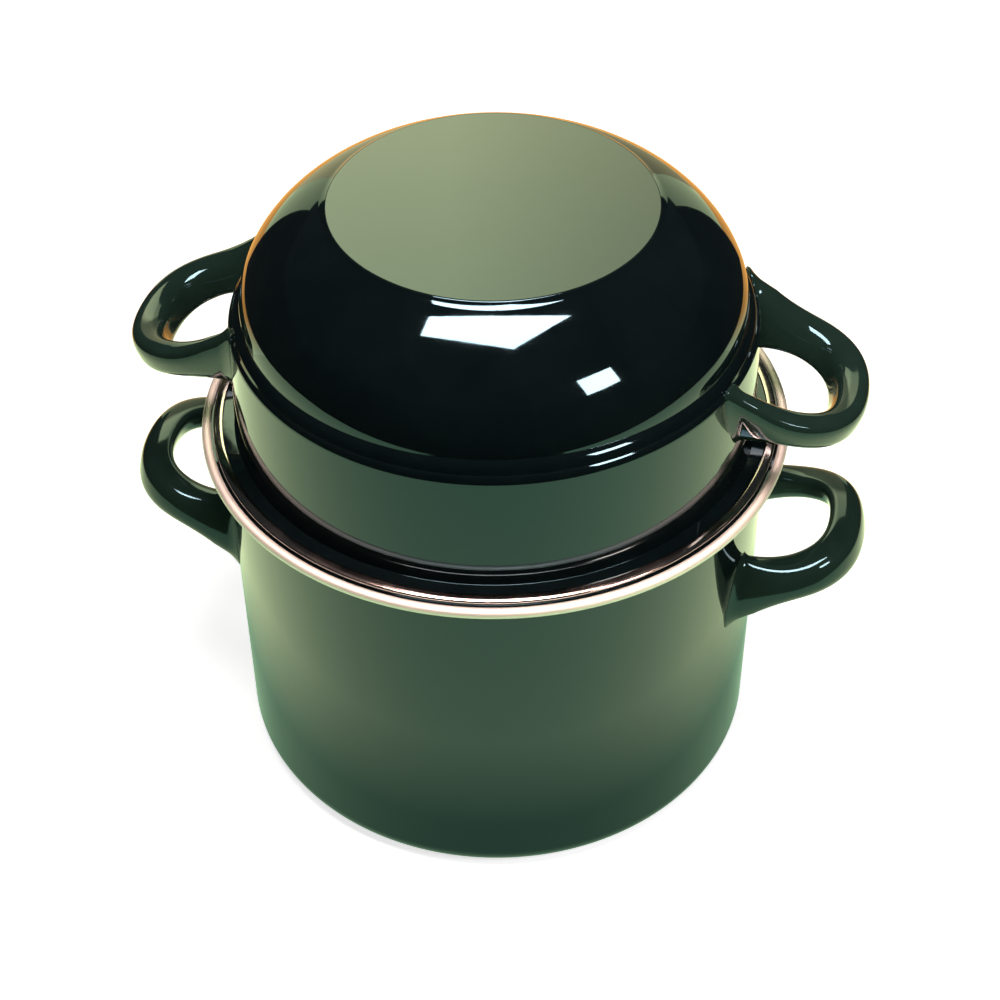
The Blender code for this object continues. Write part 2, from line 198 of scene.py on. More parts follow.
class StageSettings(bpy.types.PropertyGroup):
    """Where the camera stands, and what the studio holds."""

    turn: slope("Turn", 11.3, "How far the studio and the camera are turned round the pot")
    camera_pitch: slope("Camera pitch", 42.115, "How steeply the camera looks down")
    camera_roll: slope("Camera roll", -0.639, "Roll of the camera")
    camera_distance: length("Camera distance", 0.93038, "From the camera to the point that it aims at")
    aim_height: length("Aim height", 0.11846, "Height of that point above the table")
    aim_pixel: amount("Aim pixel", 496.3, "Where the pot's axis lies across the image of 1000 pixels")
    lens: amount("Lens", 72.0, "Focal length in millimetres on a sensor 36 wide")
    floor_colour: colour("Floor", (0.80, 0.80, 0.80), "Floor and backdrop as they are seen")
    floor_mirrored: colour("Floor mirrored", (0.85, 1.0, 0.57), "Floor and backdrop as the pot mirrors them")
    # Painted shade: the mirrored floor's colour close to the pot, standing in for the pot's contact shadow.
    floor_mirrored_painted_shade: colour("Floor mirrored near", (0.26, 0.44, 0.27), "The same close to the pot, where it is shaded")
    table: colour("Table behind", (0.62, 0.29, 0.07), "Wooden table behind, only mirrored")
    floor_glow: amount("Floor glow", 0.75, "Added where the floor is seen, so that it is white")
    mirror_glow: amount("Floor mirror glow", 1.05, "Added where the floor is mirrored or looked at through glass")
    key_power: amount("Key power", 8.5, "Watts of the overhead lamp")
    front_power: amount("Front power", 1.6, "Watts of the lamp at the right front")
    back_power: amount("Back power", 4.0, "Watts of the lamp behind")
    key_mirror: amount("Key mirrored", 82.0, "Strength of the overhead lamp's face in the gloss")
    front_mirror: amount("Front mirrored", 78.0, "Strength of the front lamp's face in the gloss")
    back_mirror: amount("Back mirrored", 5.3, "Strength of the rear lamp's face in the gloss")
    back_low: amount("Back mirrored low", 1.0, "Strength of the rear lamp's face near the table")
    back_side: amount("Back mirrored right", 0.60, "Share of that strength at the right of the rear lamp's face")
    key_tint: colour("Key tint", (1.0, 0.63, 0.56), "Colour of the overhead lamp's face in the gloss")
    front_tint: colour("Front tint", (1.0, 0.63, 0.54), "Colour of the front lamp's face in the gloss")
    back_tint: colour("Back tint", (1.0, 0.933, 0.503), "Colour of the rear lamp's face in the gloss")
    table_glow: amount("Table mirrored", 2.3, "Strength of the mirrored table where it is wood")
    world: amount("World", 0.04, "Strength of the dim room")


# Profiles, as arrays of (radius, height)


def arc(centre, radius, start, end, step=math.radians(4.0)):
    """Points on a circle: centre + radius (cos a, sin a), with a running evenly from start to end."""
    angles = np.linspace(start, end, max(int(abs(end - start) / step), 2) + 1)
    return np.asarray(centre) + radius * np.column_stack((np.cos(angles), np.sin(angles)))


def heading(angle):
    """The unit vector at an angle: (cos a, sin a)."""
    return np.array((math.cos(angle), math.sin(angle)))


def straight(start, end, hold=0.0003, spacing=0.006):
    """Points on a line: start + t (end - start), evenly spaced, with one more close to each end."""
    start = np.asarray(start)
    end = np.asarray(end)
    distance = np.hypot(*(end - start))
    shares = np.linspace(0.0, 1.0, max(int(distance / spacing), 1) + 1)
    farthest = 0.3
    near = min(hold / distance, farthest)
    shares = np.sort(np.concatenate((shares, [near, 1 - near])))
    return start + shares[:, None] * (end - start)


def cubic_weights(shares):
    """A cubic curve's weights at shares t of its run, a row each: (1-t)^3, 3t(1-t)^2, 3t^2(1-t), t^3."""
    return np.column_stack(((1 - shares)**3, 3 * shares * (1 - shares)**2, 3 * shares**2 * (1 - shares), shares**3))


def cubic(start, start_pull, end, end_pull, count):
    """A cubic curve: its weights on start, start + pull, end - pull and end."""
    start = np.asarray(start)
    end = np.asarray(end)
    controls = np.stack((start, start + np.asarray(start_pull), end - np.asarray(end_pull), end))
    return cubic_weights(np.linspace(0.0, 1.0, count)) @ controls


def corner_arc(before, corner, after, radius):
    """The arc of a given radius that touches the lines before-corner and corner-after.

    It touches them at radius / tan(half the opening) from the corner, and turns round the point on the
    bisector at radius / sin(half the opening).
    """
    corner = np.asarray(corner)
    first = np.asarray(before) - corner
    second = np.asarray(after) - corner
    first = first / np.hypot(*first)
    second = second / np.hypot(*second)
    half = math.acos(float(np.clip(first @ second, -1.0, 1.0))) / 2
    middle = first + second
    centre = corner + middle / np.hypot(*middle) * radius / math.sin(half)
    start = corner + first * radius / math.tan(half) - centre
    end = corner + second * radius / math.tan(half) - centre
    start_angle = math.atan2(start[1], start[0])
    swing = math.remainder(math.atan2(end[1], end[0]) - start_angle, 2 * math.pi)
    return arc(centre, radius, start_angle, start_angle + swing)


def joined(*pieces):
    """The pieces end to end, without points that lie on the one before."""
    touching = 1e-6
    path = np.vstack(pieces)
    steps = np.hypot(*np.diff(path, axis=0).T)
    return path[np.concatenate(([True], steps > touching))]


def side_step(path, distance):
    """The path moved to its left by a distance: each point by distance / cos(half its turn), square to it."""
    steps = np.diff(path, axis=0)
    headings = np.unwrap(np.arctan2(steps[:, 1], steps[:, 0]))
    before = np.concatenate((headings[:1], headings))
    after = np.concatenate((headings, headings[-1:]))
    left = (before + after) / 2 + math.pi / 2
    reach = distance / np.cos((after - before) / 2)
    return path + reach[:, None] * np.column_stack((np.cos(left), np.sin(left)))


def sharpness(path, closed=False):
    """How sharply a path bends, either way: turn per metre, as 0 at a radius of 6 mm or more and 1 at 1.5 mm."""
    blunt, sharp = 1 / 0.006, 1 / 0.0015
    shortest = 1e-7
    around = np.vstack((path[-1:], path, path[:1])) if closed else np.vstack((path[:1], path, path[-1:]))
    steps = np.diff(around, axis=0)
    lengths = np.maximum(np.hypot(*steps.T), shortest)
    headings = np.arctan2(steps[:, 1], steps[:, 0])
    turns = np.remainder(np.diff(headings) + math.pi, 2 * math.pi) - math.pi
    if not closed:
        turns[[0, -1]] = 0.0
    bend = np.abs(turns) / ((lengths[1:] + lengths[:-1]) / 2)
    return np.clip((bend - blunt) / (sharp - blunt), 0.0, 1.0)


def sheet_reach(trim_radius, trim_sheet, sheet, gap):
    """How far past a trim's centre the sheet's edge reaches: sqrt(room^2 - (half the sheet)^2)."""
    return math.sqrt((trim_radius - trim_sheet - gap)**2 - (sheet / 2)**2)


def pot_outer(pot, trims):
    """The pot's outer side from the middle of its base to the edge of the lip: recess, ring, corner, wall, lip."""
    ring_outer = pot.wall_radius - pot.corner_radius
    ring_inner = ring_outer - pot.ring_width
    recess = ring_inner - pot.recess_slope
    lip_centre = (pot.wall_radius - pot.thickness + pot.lip_fillet, pot.height - pot.lip_fillet)
    reach = sheet_reach(trims.pot_radius, trims.pot_sheet, pot.thickness, trims.gap)
    edge = pot.rim_radius - trims.pot_radius + reach - pot.thickness / 2
    under = pot.lip_fillet - pot.thickness
    pull = (0.5 * pot.recess_slope, 0.0)
    return joined(
        straight((0.0, pot.recess_depth), (recess, pot.recess_depth)),
        cubic((recess, pot.recess_depth), pull, (ring_inner, 0.0), pull, 9),
        straight((ring_inner, 0.0), (ring_outer, 0.0)),
        arc((ring_outer, pot.corner_radius), pot.corner_radius, -math.pi / 2, 0.0),
        straight((pot.wall_radius, pot.corner_radius), (pot.wall_radius, lip_centre[1])),
        arc(lip_centre, under, math.pi, math.pi / 2),
        straight((lip_centre[0], pot.height - pot.thickness), (edge, pot.height - pot.thickness)),
    )


def pot_outline(pot, trims):
    """The pot's whole section: the outer side, round the lip's edge, and the inner side back to the axis."""
    outer = pot_outer(pot, trims)
    half = pot.thickness / 2
    edge = arc((outer[-1, 0], pot.height - half), half, -math.pi / 2, math.pi / 2, math.radians(20.0))
    inner = side_step(outer, pot.thickness)
    return joined(outer, edge, inner[::-1])


def lid_wall(lid, height):
    """Radius of the lid's wall at a height above its edge: foot radius - height x tan(taper)."""
    return lid.wall_radius - height * math.tan(lid.wall_taper)


def lid_outer(lid, trims):
    """The lid's outer side from the middle of the disc to the flange's edge.

    Disc, rounded edge, straight step, hollow, dome as one cubic, cove, upper roll, riser, groove, lower roll,
    straight wall, foot fillet and flange. Each roll and the groove is an arc that starts, with the same
    direction, where the piece below it ends. Heights are above the lid's edge.
    """
    steep = lid.step_slope
    easy = lid.dome_top_slope
    dome_top = np.array((lid.disc_radius + lid.step_width, lid.disc_height - lid.step_height))
    hollow_centre = dome_top + lid.step_hollow * heading(math.pi / 2 - easy)
    hollow = arc(hollow_centre, lid.step_hollow, -math.pi / 2 - steep, -math.pi / 2 - easy, math.radians(1.0))
    fall = lid.disc_height - lid.step_rounding * (1 - math.cos(steep)) - hollow[0, 1]
    step_top = (hollow[0, 0] - fall / math.tan(steep), hollow[0, 1] + fall)
    disc_end = step_top[0] - lid.step_rounding * math.sin(steep)
    round_centre = (disc_end, lid.disc_height - lid.step_rounding)
    rounding = arc(round_centre, lid.step_rounding, math.pi / 2, math.pi / 2 - steep, math.radians(2.5))

    wall_top = (lid_wall(lid, lid.wall_top), lid.wall_top)
    fine = math.radians(2.0)
    lower_centre = wall_top - lid.lower_roll * heading(lid.wall_taper)
    lower_roll = arc(lower_centre, lid.lower_roll, lid.lower_roll_end, lid.wall_taper, fine)
    groove_centre = lower_roll[0] + lid.groove_radius * heading(lid.lower_roll_end)
    groove = arc(groove_centre, lid.groove_radius, lid.groove_end + math.pi, lid.lower_roll_end + math.pi, fine)
    riser_top = groove[0] + lid.riser * heading(lid.groove_end + math.pi / 2)
    upper_centre = riser_top - lid.upper_roll * heading(lid.groove_end)
    upper_roll = arc(upper_centre, lid.upper_roll, lid.upper_roll_end, lid.groove_end, fine)
    rise = (upper_roll[0, 0] - lid.dome_radius) / math.tan(lid.upper_roll_end)
    cove_corner = np.array((lid.dome_radius, upper_roll[0, 1] + rise))
    up_dome = heading(math.pi / 2 + lid.dome_foot_slope)
    cove = corner_arc(cove_corner + up_dome, cove_corner, upper_roll[0], lid.cove_radius)
    dome = cubic(dome_top, lid.dome_top_pull * heading(-easy), cove[0], -lid.dome_foot_pull * up_dome, 80)

    half = lid.thickness / 2
    reach = sheet_reach(trims.lid_radius, trims.lid_sheet, lid.thickness, trims.gap)
    along = (reach - half) * heading(-lid.flange_slope)
    flange_end = np.array((lid.edge_radius, 0.0)) + along + half * heading(math.pi / 2 - lid.flange_slope)
    lift = flange_end[1] + (flange_end[0] - lid.wall_radius) * math.tan(lid.flange_slope)
    foot_height = lift / (1 - math.tan(lid.wall_taper) * math.tan(lid.flange_slope))
    foot = corner_arc(wall_top, (lid_wall(lid, foot_height), foot_height), flange_end, lid.foot_fillet)
    return joined(
        straight((0.0, lid.disc_height), (disc_end, lid.disc_height)),
        rounding,
        straight(step_top, hollow[0], spacing=0.0006),
        hollow,
        dome,
        cove,
        upper_roll,
        straight(riser_top, groove[0]),
        groove,
        lower_roll,
        straight(wall_top, foot[0]),
        foot,
        straight(foot[-1], flange_end, spacing=0.002),
    )


def lid_outline(lid, trims):
    """The lid's whole section: the outer side, round the flange's edge, and the inner side back to the axis."""
    outer = lid_outer(lid, trims)
    half = lid.thickness / 2
    inner = side_step(outer, -lid.thickness)
    start = math.pi / 2 - lid.flange_slope
    edge = arc((outer[-1] + inner[-1]) / 2, half, start, start - math.pi, math.radians(20.0))
    return joined(outer, edge, inner[::-1]) + np.array((0.0, lid.height))


def rounded(angles, power):
    """A rounded square's points, a row across and a row up: |cos a|^(2/n) and |sin a|^(2/n) with their signs."""
    circle = np.stack((np.cos(angles), np.sin(angles)))
    return np.sign(circle) * np.abs(circle)**(2 / power)


def squared(centre, tilt, radius, extra, angles, power):
    """Points of a squarish ring: a rounded square, radius + extra across and radius up, tilted."""
    points = rounded(angles, power).T * (radius + extra, radius)
    return np.asarray(centre) + points @ np.stack((heading(tilt), heading(tilt + math.pi / 2)))


def half_turn(start, end):
    """A half circle, anticlockwise, from one point to another: the round edge of a sheet."""
    middle = (start + end) / 2
    angle = math.atan2(*(start - middle)[::-1])
    return arc(middle, math.hypot(*(start - middle)), angle, angle + math.pi, math.radians(30.0))[1:-1]


def trim_section(centre, tilt, radius, extra, sheet, covered, gap, power):
    """A rolled trim's closed section: the outer ring, a round edge, the inner ring back, and a round edge.

    Each ring runs to the angle at which the trim lies one gap off the sheet that it covers, whose sine is
    ((half the covered sheet + gap) / inner radius)^(n/2).
    """
    closing = math.pi - math.asin(((covered / 2 + gap) / (radius - sheet))**(power / 2))
    outer_points, inner_points = 61, 31
    outer = squared(centre, tilt, radius, extra, np.linspace(-closing, closing, outer_points), power)
    inner = squared(centre, tilt, radius - sheet, extra, np.linspace(closing, -closing, inner_points), power)
    return joined(outer, half_turn(outer[-1], inner[0]), inner, half_turn(inner[-1], outer[0]))


# Surfaces, as grids of points


def turned_grid(outline, steps):
    """An outline carried round Z: (radius cos a, radius sin a, height), with a running once round."""
    angles = np.linspace(0.0, 2 * math.pi, steps, endpoint=False)
    radius = outline[:, :1]
    height = np.repeat(outline[:, 1:], steps, axis=1)
    return np.stack((radius * np.cos(angles), radius * np.sin(angles), height), axis=-1)


def cells(index):
    """The quads between neighbouring rows and columns of a grid of point numbers."""
    return np.stack((index[:-1, :-1], index[:-1, 1:], index[1:, 1:], index[1:, :-1]), axis=-1).reshape(-1, 4)


def grid_mesh(name, grid, capped, values):
    """A closed mesh over a grid whose rows close on themselves.

    Neighbouring rows are joined by quads. Capped, the first and last rows close to one point each, the mean
    of the row. Otherwise the last row joins the first. The faces are turned round if the volume, which is
    the sum of a . (b x c) / 6 over the triangles, comes out negative. Values are kept at the points.
    """
    rows, columns = grid.shape[:2]
    count = rows * columns
    index = np.arange(count).reshape(rows, columns)
    index = np.pad(index, ((0, 0 if capped else 1), (0, 1)), mode="wrap")
    quads = cells(index)
    points = grid.reshape(-1, 3)
    ends = np.empty((0, 3), dtype=int)
    if capped:
        points = np.vstack((points, grid[0].mean(axis=0), grid[-1].mean(axis=0)))
        first = np.column_stack((index[0, 1:], index[0, :-1], np.full(columns, count)))
        last = np.column_stack((index[-1, :-1], index[-1, 1:], np.full(columns, count + 1)))
        ends = np.vstack((first, last))
    triangles = np.vstack((quads[:, [0, 1, 2]], quads[:, [0, 2, 3]], ends))
    corner = points[triangles]
    volume = np.einsum("ij,ij->i", corner[:, 0], np.cross(corner[:, 1], corner[:, 2])).sum() / 6
    if volume < 0:
        quads = quads[:, ::-1]
        ends = ends[:, ::-1]
    mesh = bpy.data.meshes.new(name)
    mesh.from_pydata(points.tolist(), [], quads.tolist() + ends.tolist())
    mesh.shade_smooth()
    for label, field in values.items():
        flat = field.reshape(count, -1)
        if capped:
            flat = np.vstack((flat, flat[:columns].mean(axis=0), flat[-columns:].mean(axis=0)))
        kind, part = ("FLOAT", "value") if flat.shape[1] == 1 else ("FLOAT_VECTOR", "vector")
        mesh.attributes.new(label, kind, "POINT").data.foreach_set(part, flat.ravel())
    mesh.update()
    return mesh


def add_object(name, data):
    """A new object in the scene, at the origin."""
    made = bpy.data.objects.new(name, data)
    bpy.context.scene.collection.objects.link(made)
    return made


def add_piece(mesh, material, body, node):
    """Put a finished mesh in the scene, under its own name, as the piece that stands for a CAD node."""
    mesh.materials.append(material)
    piece = add_object(mesh.name, mesh)
    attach(piece, body)
    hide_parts(node)


def along_path(path):
    """Distance along a path to each of its points."""
    steps = np.hypot(*np.diff(path, axis=0).T)
    return np.concatenate(([0.0], np.cumsum(steps)))


def spread(values, columns):
    """One value for each row, repeated across its columns."""
    return np.repeat(np.asarray(values)[:, None], columns, axis=1)


def loop_centre(sizes, shares, root_distance):
    """Half of a loop's centre line, a cubic from inside the wall to the middle of the grip, and its outward side.

    Its points are (0, half spacing), the leg's pull turned in, the grip's pull at full reach, and full reach. Its
    heading is the same points' steps times (1-t)^2, 2t(1-t) and t^2, and outwards is square to that.
    """
    reach = sizes.reach + sizes.root_start
    turned = sizes.half_spacing - sizes.leg_pull * math.tan(sizes.turn_in)
    controls = np.array(((0.0, sizes.half_spacing), (sizes.leg_pull, turned), (reach, sizes.grip_pull), (reach, 0.0)))
    line = cubic_weights(shares) @ controls
    line[:, 0] += root_distance - sizes.root_start
    ahead = np.column_stack(((1 - shares)**2, 2 * shares * (1 - shares), shares**2)) @ np.diff(controls, axis=0)
    ahead /= np.hypot(*ahead.T)[:, None]
    return line, np.column_stack((-ahead[:, 1], ahead[:, 0]))


def loop_grid(sizes, fineness, wall, base_height, flip):
    """A loop handle: rounded oblong sections carried along the centre line, and mirrored to the other leg.

    A section is a rounded square times its half sizes. It leans by upwards x tan(lean), goes from the leg's sizes
    to the grip's by 1 - (1 - d/L)^2, widens at the wall by the weld's (1 - d/W)^2, and near the wall it bends to
    the wall's own curve. Gives the points, and how sharply each section bends there.
    """
    crowding = 1.5
    root_distance = math.sqrt(wall(base_height)**2 - sizes.half_spacing**2)
    tries = np.linspace(0.0, sizes.root_share, 400)
    depths = loop_centre(sizes, tries, root_distance)[0][:, 0] - root_distance
    first = float(np.interp(-sizes.root_depth, depths, tries))
    run = np.linspace(0.0, 1.0, fineness.root_stations, endpoint=False)**crowding
    root = first + (sizes.root_share - first) * run
    fractions = np.concatenate((root, np.linspace(sizes.root_share, 1.0, fineness.grip_stations)))
    centre, outward = loop_centre(sizes, fractions, root_distance)
    stand_off = centre[:, 0] - root_distance
    taper = 1 - np.clip(1 - stand_off / sizes.leg_taper, 0.0, 1.0)**2
    weld = sizes.weld * np.clip(1 - stand_off / sizes.weld_length, 0.0, 1.0)**2
    legs = np.array((sizes.leg_thickness / 2, sizes.leg_upper, sizes.leg_lower))
    grips = np.array((sizes.grip_thickness / 2, sizes.grip_upper, sizes.grip_lower))
    half_thickness, upper, lower = (legs + (grips - legs) * taper[:, None] + weld[:, None]).T[..., None]
    follow = np.clip((sizes.root_share - fractions) / (sizes.root_share - first), 0.0, 1.0)[:, None]

    angles = np.linspace(0.0, 2 * math.pi, fineness.section_sides, endpoint=False)
    sideways, upwards = rounded(angles, sizes.roundness)
    sideways = sideways * half_thickness
    upwards = upwards * np.where(upwards > 0, upper, lower)
    offset = sideways - upwards * math.tan(sizes.lean)
    height = base_height + flip * (sizes.rise * stand_off[:, None] / sizes.reach + upwards)
    along = centre[:, :1] + outward[:, :1] * offset
    across = centre[:, 1:] + outward[:, 1:] * offset
    shell = np.hypot(centre[:, 0], centre[:, 1])[:, None] + wall(height) - wall(base_height)
    bent = np.sqrt(shell**2 - across**2)
    half = np.stack((along + (bent - along) * follow, across, height), axis=-1)
    bends = np.stack([sharpness(np.column_stack(pair), closed=True) for pair in zip(sideways, upwards)])
    mirrored = half[-2::-1] * np.array((1.0, -1.0, 1.0))
    return np.concatenate((half, mirrored)), np.concatenate((bends, bends[-2::-1]))


# Materials


def feed(tree, socket, value):
    """Give an input its value: another node's output, a number, a vector, or a colour of three parts."""
    if isinstance(value, bpy.types.NodeSocket):
        tree.links.new(value, socket)
    elif socket.type == "RGBA":
        socket.default_value = (*value, 1.0)
    else:
        socket.default_value = value


def add_node(tree, kind, settings=(), **values):
    """A node with its settings, and its inputs fed by name, with _ for a space."""
    node = tree.nodes.new(kind)
    for label, value in dict(settings).items():
        setattr(node, label, value)
    for label, value in values.items():
        feed(tree, node.inputs[label.replace("_", " ")], value)
    return node


def maths(tree, operation, *terms):
    """The terms, each a socket or a number, joined by one operation from the left."""
    result = terms[0]
    for term in terms[1:]:
        node = add_node(tree, "ShaderNodeMath", {"operation": operation})
        feed(tree, node.inputs[0], result)
        feed(tree, node.inputs[1], term)
        result = node.outputs[0]
    return result


def total(tree, *terms):
    """The sum of the terms, each a socket or a pair of a socket and its weight."""
    weighed = [maths(tree, "MULTIPLY", *term) if isinstance(term, tuple) else term for term in terms]
    return maths(tree, "ADD", *weighed)


def remap(tree, value, low, high, to_low, to_high):
    """A value carried from one range to another, clamped."""
    return add_node(tree, "ShaderNodeMapRange", Value=value, From_Min=low, From_Max=high, To_Min=to_low,
                    To_Max=to_high).outputs["Result"]


def blended(tree, share, first, second):
    """Two colours mixed by a share. Gives the colour's socket."""
    node = add_node(tree, "ShaderNodeMix", {"data_type": "RGBA"}, Factor=share)
    feed(tree, node.inputs[6], first)
    feed(tree, node.inputs[7], second)
    return node.outputs[2]


def noise(tree, vector, scale, detail=2.0, roughness=0.5):
    """Noise over a vector, as a value about 0.5."""
    return add_node(tree, "ShaderNodeTexNoise", Vector=vector, Scale=scale, Detail=detail,
                    Roughness=roughness).outputs["Fac"]


def object_place(tree):
    """Object coordinates."""
    return tree.nodes.new("ShaderNodeTexCoord").outputs["Object"]


def new_group(name, colours, values, results):
    """A node group with named sockets: colours, values with their defaults, and results with their types.

    Gives the group, the sockets that carry what it is given, and those that take its results.
    """
    group = bpy.data.node_groups.new(name, "ShaderNodeTree")
    for label in colours:
        group.interface.new_socket(label, in_out="INPUT", socket_type="NodeSocketColor")
    for label, default in values.items():
        group.interface.new_socket(label, in_out="INPUT", socket_type="NodeSocketFloat").default_value = default
    for label, kind in results.items():
        group.interface.new_socket(label, in_out="OUTPUT", socket_type="NodeSocket" + kind)
    return group, group.nodes.new("NodeGroupInput").outputs, group.nodes.new("NodeGroupOutput").inputs


def finish_group(name, colours, values):
    """A group that gives a surface's colour, roughness and normal."""
    return new_group(name, colours, values, {"Color": "Color", "Roughness": "Float", "Normal": "Vector"})


def give_finish(group, results, colour, roughness, depth, height):
    """Lead a colour, a roughness and the normal of a height field to the group's results."""
    bump = add_node(group, "ShaderNodeBump", Strength=1.0, Distance=depth, Height=height)
    feed(group, results["Color"], colour)
    feed(group, results["Roughness"], roughness)
    feed(group, results["Normal"], bump.outputs["Normal"])


def enamel_group():
    """Vitreous enamel: pools and thin places in the colour, soft orange peel, fine pits, and rubbed dull areas."""
    name = "Enamel glaze"
    if name in bpy.data.node_groups:
        return bpy.data.node_groups[name]
    defaults = {"Edge": 0.0, "Rub": 0.0, "Peel Depth": 0.00002, "Peel Scale": 150.0, "Gloss Roughness": 0.05}
    group, given, results = finish_group(name, ("Glaze", "Thin Glaze", "Rubbed"), defaults)
    place = object_place(group)
    pools = noise(group, place, scale=22.0, detail=3.0, roughness=0.55)
    cloud = noise(group, place, scale=75.0, detail=4.0, roughness=0.6)
    peel = noise(group, place, scale=given["Peel Scale"], detail=1.0)
    sand = noise(group, place, scale=1400.0)
    scratches = noise(group, place, scale=420.0, detail=6.0, roughness=0.75)

    pits = add_node(group, "ShaderNodeTexVoronoi", Vector=place, Scale=330.0, Randomness=1.0)
    lot = add_node(group, "ShaderNodeSeparateColor", Color=pits.outputs["Color"])
    share_without, smallest, largest = 0.93, 0.05, 0.17
    chosen = maths(group, "GREATER_THAN", lot.outputs[0], share_without)
    pit_size = remap(group, lot.outputs[1], 0.0, 1.0, smallest, largest)
    near = maths(group, "SUBTRACT", 1.0, maths(group, "DIVIDE", pits.outputs["Distance"], pit_size))
    pit = maths(group, "MULTIPLY", maths(group, "MAXIMUM", near, 0.0), chosen)

    rubbed = maths(group, "MULTIPLY", given["Rub"], remap(group, scratches, 0.42, 0.62, 0.25, 1.0))
    thin = total(group, (given["Edge"], 0.55), remap(group, pools, 0.35, 0.7, 0.0, 0.30))
    body = blended(group, thin, given["Glaze"], given["Thin Glaze"])
    shade = total(group, remap(group, cloud, 0.3, 0.7, 0.88, 1.10), (pit, -0.6))
    tone = add_node(group, "ShaderNodeHueSaturation", Color=body, Value=shade)
    colour = blended(group, rubbed, tone.outputs["Color"], given["Rubbed"])
    roughness = total(group, given["Gloss Roughness"], remap(group, cloud, 0.35, 0.75, 0.0, 0.035), (rubbed, 0.30),
                      (pit, 0.25))
    height = total(group, (pools, 3.0), peel, (sand, 0.02), (cloud, 0.45), (pit, -1.6), (rubbed, -0.35))
    give_finish(group, results, colour, roughness, given["Peel Depth"], height)
    return group


def steel_group():
    """Rolled stainless steel: fine scratches that run round the trim, smears, and a slightly uneven roll."""
    name = "Rolled steel"
    if name in bpy.data.node_groups:
        return bpy.data.node_groups[name]
    defaults = {"Polish": 0.12, "Scratch Depth": 0.000004}
    group, given, results = finish_group(name, ("Steel", "Worn Steel"), defaults)
    around = add_node(group, "ShaderNodeAttribute", {"attribute_name": "around"}).outputs["Vector"]
    drawn = add_node(group, "ShaderNodeMapping", Vector=around, Scale=(14.0, 14.0, 5200.0)).outputs["Vector"]
    lines = noise(group, drawn, scale=1.0, detail=5.0, roughness=0.7)
    place = object_place(group)
    smears = noise(group, place, scale=55.0, detail=4.0, roughness=0.6)
    roll = noise(group, place, scale=240.0)
    scratched = remap(group, lines, 0.5, 0.72, 0.0, 1.0)
    dull = maths(group, "MULTIPLY", scratched, remap(group, smears, 0.35, 0.65, 0.3, 1.0))
    colour = blended(group, dull, given["Steel"], given["Worn Steel"])
    roughness = total(group, given["Polish"], remap(group, smears, 0.35, 0.7, 0.0, 0.08), (dull, 0.12))
    give_finish(group, results, colour, roughness, given["Scratch Depth"], total(group, lines, (roll, 6.0)))
    return group


def empty_material(name):
    """A node material with only its Principled shader."""
    made = bpy.data.materials.new(name)
    made.use_nodes = True
    return made, made.node_tree, made.node_tree.nodes["Principled BSDF"]


def dressed_material(name, group, own, **values):
    """A material, once in the file, that takes its colour, roughness and normal from a group.

    The group is given the values, and the piece's own edge and rub if it asks for them. What is in own goes on the
    shader's own sockets.
    """
    if name in bpy.data.materials:
        return bpy.data.materials[name]
    made, tree, shader = empty_material(name)
    placed = add_node(tree, "ShaderNodeGroup", {"node_tree": group}, **values)
    for result, socket in (("Color", "Base Color"), ("Roughness", "Roughness"), ("Normal", "Normal")):
        feed(tree, shader.inputs[socket], placed.outputs[result])
    for label in ("Edge", "Rub"):
        if label in placed.inputs:
            kept = add_node(tree, "ShaderNodeAttribute", {"attribute_name": label.lower()})
            feed(tree, placed.inputs[label], kept.outputs["Fac"])
    for label, value in own.items():
        feed(tree, shader.inputs[label], value)
    made.diffuse_color = placed.inputs[0].default_value
    return made


def enamel_material(name, finishes, tint, **values):
    """Green enamel, glossy under a tinted reflection."""
    own = {"IOR": finishes.enamel_index, "Specular Tint": tint}
    return dressed_material(name, enamel_group(), own, Rubbed=finishes.rubbed, **values)


def shell_enamel(finishes):
    """The shells' enamel."""
    return enamel_material("Body enamel", finishes, finishes.gloss_tint, Glaze=finishes.shell_green,
                           Thin_Glaze=finishes.shell_thin, Peel_Depth=0.000010, Peel_Scale=150.0, Gloss_Roughness=0.03)


def handle_enamel(finishes):
    """The handles' enamel, a little thicker and wavier."""
    return enamel_material("Handle enamel", finishes, finishes.handle_gloss, Glaze=finishes.handle_green,
                           Thin_Glaze=finishes.handle_thin, Peel_Depth=0.000014, Peel_Scale=190.0, Gloss_Roughness=0.05)


def satin_steel(finishes):
    """The pot trim's steel, brushed."""
    return dressed_material("Satin steel", steel_group(), {"Metallic": 1.0}, Steel=finishes.satin,
                            Worn_Steel=finishes.satin_worn, Polish=0.58, Scratch_Depth=0.000004)


def polished_steel(finishes):
    """The lid trim's steel."""
    return dressed_material("Polished steel", steel_group(), {"Metallic": 1.0}, Steel=finishes.steel,
                            Worn_Steel=finishes.steel_worn, Polish=0.08, Scratch_Depth=0.000001)


